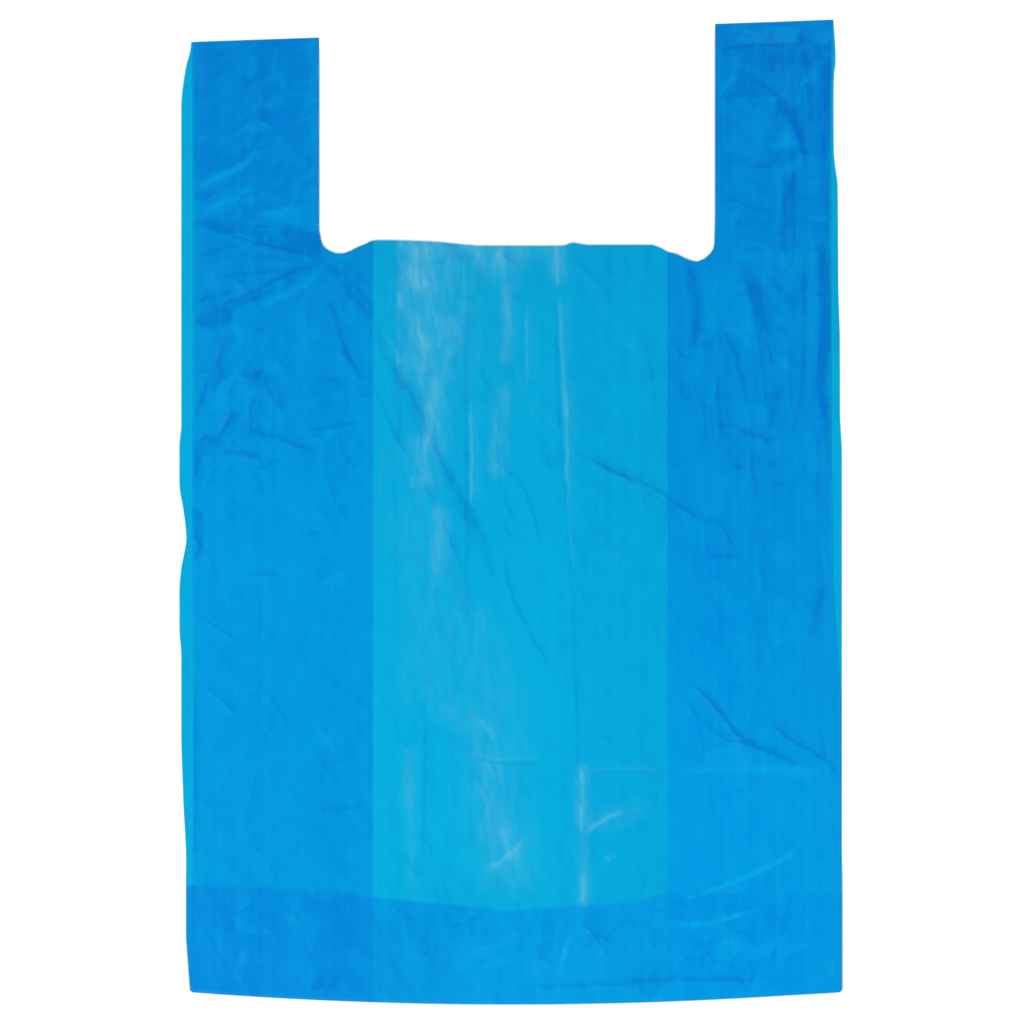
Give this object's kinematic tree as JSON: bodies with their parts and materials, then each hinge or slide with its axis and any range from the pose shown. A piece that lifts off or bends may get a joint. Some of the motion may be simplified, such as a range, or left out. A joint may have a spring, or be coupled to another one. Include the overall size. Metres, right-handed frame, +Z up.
{
  "type": "plastic carrier bag",
  "caption": "Flat empty vest-shaped plastic carrier bag with side gussets, cut-out handles and its bottom folded up behind.",
  "frame": {"origin": "middle of the flat bag's footprint, on the surface that it lies on", "axes": "+X across the bag to the right, +Y along the bag from its bottom to its handles, +Z up from the back panel to the front panel"},
  "size_m": [0.3592, 0.5364, 0.006],
  "materials": {
    "film": "thin translucent blue film, softly glossy, finely creased"
  },
  "bodies": {
    "root": {"bag_film": "film"}
  },
  "joints": []
}
